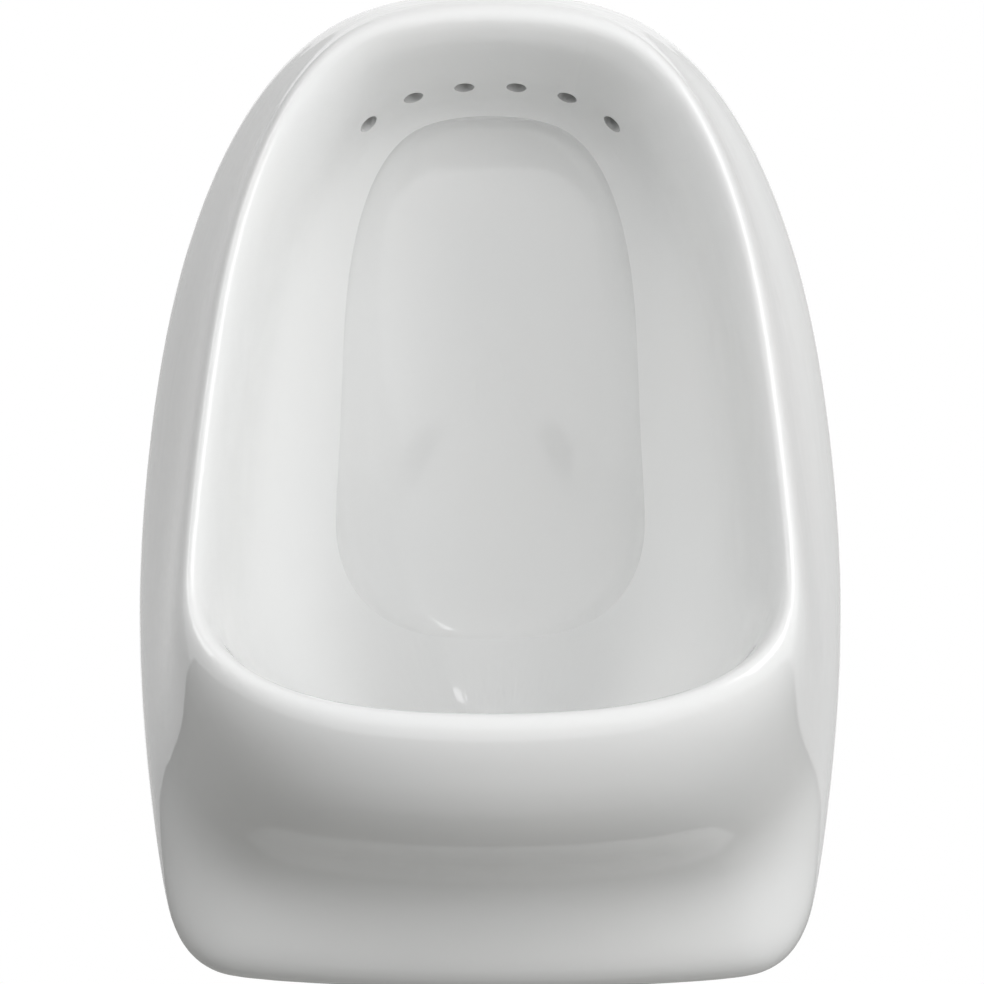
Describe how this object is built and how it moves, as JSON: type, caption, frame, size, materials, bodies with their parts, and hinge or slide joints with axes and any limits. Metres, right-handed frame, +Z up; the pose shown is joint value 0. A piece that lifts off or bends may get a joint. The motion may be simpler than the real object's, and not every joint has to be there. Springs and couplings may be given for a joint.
{
  "type": "wall hung urinal",
  "caption": "White vitreous china wall hung urinal with a deep bowl, flushing hood, hollow back, wall hangers, rear supply inlet and a concealed trap with a rear outlet.",
  "frame": {"origin": "on the wall plane, in the middle of the four bolt holes of the two hangers", "axes": "+Z up, +Y into the wall, the bowl opens towards -Y, +X to the right as seen from the front"},
  "size_m": [0.3653, 0.3681, 0.4984],
  "materials": {
    "white_china": "glossy white glaze",
    "brass": "turned brass",
    "black_rubber": "moulded rubber",
    "chrome_plate": "polished chrome plate",
    "white_plastic": "moulded polypropylene",
    "zinc_steel": "zinc plated steel"
  },
  "bodies": {
    "china": {"urinal_body": "white_china", "inlet_spud": "brass", "inlet_seal": "black_rubber", "inlet_washer": "brass", "inlet_lock_nut": "brass", "upper_gasket": "black_rubber", "waste_flange": "chrome_plate", "lower_gasket": "black_rubber", "trap_body": "white_plastic", "outlet_seal": "black_rubber", "outlet_nut": "white_plastic", "outlet_pipe": "white_plastic", "hanger_left": "zinc_steel", "hanger_right": "zinc_steel", "hanger_pads": "black_rubber", "lower_angle_left": "zinc_steel", "lower_angle_right": "zinc_steel", "clamp_pads": "black_rubber", "clamp_screws": "zinc_steel", "clamp_nuts": "zinc_steel"},
    "insert": {"trap_insert": "white_plastic", "insert_seal": "black_rubber", "waste_strainer": "chrome_plate", "strainer_knob": "chrome_plate"}
  },
  "joints": [
    {"name": "insert_lift", "type": "slide", "parent": "china", "child": "insert", "axis": [0, 0, 1], "range_m": [0, 0.11]}
  ]
}
